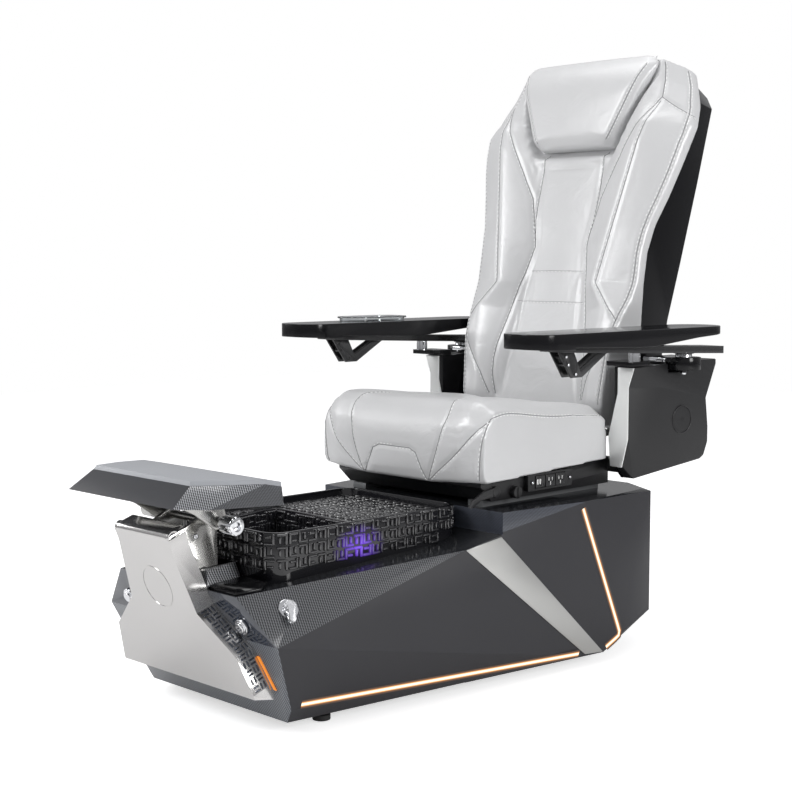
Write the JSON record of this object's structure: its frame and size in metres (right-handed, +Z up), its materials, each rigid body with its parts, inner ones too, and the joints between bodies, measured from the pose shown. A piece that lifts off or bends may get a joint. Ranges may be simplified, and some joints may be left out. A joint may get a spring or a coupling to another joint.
{
  "type": "pedicure spa chair",
  "caption": "Pedicure spa chair: foot-bath base with steel front shield and tilting footrest, sliding cushioned seat, reclining massage back and swing-out arm trays.",
  "frame": {"origin": "middle of the chair's bounding box on the floor", "axes": "+Z up, the sitter faces -Y, +X is the side with the power outlets"},
  "size_m": [0.88, 1.6581, 1.4607],
  "materials": {
    "base_carbon": "satin moulded, woven carbon look on the upper facets",
    "frame_steel": "powder coat",
    "rubber_foot": "matte",
    "basin_black": "high gloss, embossed",
    "lamp_violet": "glowing lens",
    "pump_plastic": "moulded",
    "white_pipe": "moulded",
    "brass_valve": "cast",
    "shield_steel": "brushed, nearly mirror",
    "trim_silver": "silver metallic",
    "led_warm": "glowing diffuser",
    "lamp_amber": "glowing lens",
    "gloss_black": "high gloss",
    "satin_black": "satin",
    "arm_charcoal": "fine grain",
    "chrome": "polished",
    "plate_steel": "brushed",
    "footrest_dark": "satin, woven carbon look at the corners",
    "pad_grey": "soft vinyl",
    "upholstery": "pearl silver vinyl",
    "beam_grey": "satin",
    "clear_glass": "clear",
    "motor_steel": "grey",
    "roller_rubber": "matte"
  },
  "bodies": {
    "base": {"base_shell": "base_carbon", "chassis_rails": "frame_steel", "chassis_crossbars": "frame_steel", "levelling_feet": "rubber_foot", "basin": "basin_black", "basin_lights": "lamp_violet", "jet_pump": "pump_plastic", "drain_pipe": "white_pipe", "fill_spout": "chrome", "valve_bodies": "brass_valve", "control_box": "pump_plastic", "front_shield": "shield_steel", "amber_light": "lamp_amber", "post_cover": "base_carbon", "deck_covers": "gloss_black", "side_trim_right": "trim_silver", "side_trim_left": "trim_silver", "led_strips_right": "led_warm", "led_strips_left": "led_warm", "escutcheons": "chrome", "footrest_post": "plate_steel", "seat_rails": "frame_steel"},
    "impeller": {"jet_impeller": "pump_plastic"},
    "stopper": {"drain_stopper": "chrome"},
    "lever_r": {"lever_right": "chrome"},
    "lever_l": {"lever_left": "chrome"},
    "knob_r": {"knob_right": "chrome"},
    "knob_l": {"knob_left": "chrome"},
    "footrest": {"footrest_shell": "footrest_dark", "footrest_pad": "pad_grey", "footrest_arms": "plate_steel"},
    "clamp": {"clamp_knob": "chrome"},
    "seat": {"seat_pan": "satin_black", "seat_cushion": "upholstery", "outlet_box": "satin_black", "outlet_sockets": "satin_black", "recline_motor": "motor_steel", "arm_plates": "satin_black", "arm_shell_right": "arm_charcoal", "arm_shell_left": "arm_charcoal", "arm_trims": "trim_silver", "arm_caps": "gloss_black", "swing_hubs": "plate_steel"},
    "seat_lever": {"slide_lever": "satin_black"},
    "seat_knob": {"tilt_knob": "satin_black"},
    "tray_r": {"tray_board_right": "gloss_black", "tray_beam_right": "beam_grey", "tray_bracket_right": "satin_black"},
    "tray_l": {"tray_board_left": "gloss_black", "tray_beam_left": "beam_grey", "tray_bracket_left": "satin_black"},
    "dish": {"glass_dish": "clear_glass"},
    "back": {"back_frame": "frame_steel", "back_crossbars": "frame_steel", "back_shell": "satin_black", "back_cushion": "upholstery", "head_pillow": "upholstery", "massage_rails": "chrome"},
    "carriage": {"massage_carriage": "pump_plastic"},
    "rollers": {"massage_rollers": "roller_rubber"}
  },
  "joints": [
    {"name": "seat_slide", "type": "slide", "parent": "base", "child": "seat", "axis": [0, 1, 0], "range_m": [-0.1, 0.05]},
    {"name": "back_recline", "type": "hinge", "parent": "seat", "child": "back", "pos_m": [0, 0.41, 0.52], "axis": [-1, 0, 0], "range_deg": [-4, 25]},
    {"name": "footrest_tilt", "type": "hinge", "parent": "base", "child": "footrest", "pos_m": [0, -0.657, 0.421], "axis": [1, 0, 0], "range_deg": [-20, 12]},
    {"name": "footrest_clamp", "type": "hinge", "parent": "footrest", "child": "clamp", "pos_m": [0.138, -0.657, 0.421], "axis": [1, 0, 0], "range_deg": [-120, 120]},
    {"name": "lever_right_turn", "type": "hinge", "parent": "base", "child": "lever_r", "pos_m": [0.243, -0.6, 0.259], "axis": [0.7443, -0.1431, 0.6523], "range_deg": [0, 90]},
    {"name": "lever_left_turn", "type": "hinge", "parent": "base", "child": "lever_l", "pos_m": [-0.243, -0.6, 0.259], "axis": [-0.7443, -0.1431, 0.6523], "range_deg": [-90, 0]},
    {"name": "knob_right_turn", "type": "hinge", "parent": "base", "child": "knob_r", "pos_m": [0.192, -0.6711, 0.23], "axis": [0, -0.9413, -0.3376], "range_deg": [-135, 135]},
    {"name": "knob_left_turn", "type": "hinge", "parent": "base", "child": "knob_l", "pos_m": [-0.192, -0.6711, 0.23], "axis": [0, -0.9413, -0.3376], "range_deg": [-135, 135]},
    {"name": "impeller_spin", "type": "hinge", "parent": "base", "child": "impeller", "pos_m": [0, -0.5447, 0.247], "axis": [0, 1, 0], "continuous": true},
    {"name": "stopper_lift", "type": "slide", "parent": "base", "child": "stopper", "axis": [0, 0, 1], "range_m": [0, 0.014]},
    {"name": "seat_lever_pull", "type": "hinge", "parent": "seat", "child": "seat_lever", "pos_m": [0.24, 0.014, 0.427], "axis": [1, 0, 0], "range_deg": [-15, 0], "stiffness_Nm_per_rad": 1.5},
    {"name": "seat_knob_turn", "type": "hinge", "parent": "seat", "child": "seat_knob", "pos_m": [0.242, 0.082, 0.419], "axis": [1, 0, 0], "range_deg": [-150, 150]},
    {"name": "tray_right_swing", "type": "hinge", "parent": "seat", "child": "tray_r", "pos_m": [0.366, 0.553, 0.73], "axis": [0, 0, 1], "range_deg": [0, 60]},
    {"name": "tray_left_swing", "type": "hinge", "parent": "seat", "child": "tray_l", "pos_m": [-0.366, 0.553, 0.73], "axis": [0, 0, -1], "range_deg": [0, 60]},
    {"name": "dish_lift", "type": "slide", "parent": "tray_l", "child": "dish", "axis": [0, 0, 1], "range_m": [0, 0.12]},
    {"name": "massage_travel", "type": "slide", "parent": "back", "child": "carriage", "axis": [0, 0.2173, 0.9761], "range_m": [-0.1, 0.42]},
    {"name": "roller_spin", "type": "hinge", "parent": "carriage", "child": "rollers", "pos_m": [0, 0.56872, 0.75397], "axis": [1, 0, 0], "continuous": true}
  ]
}
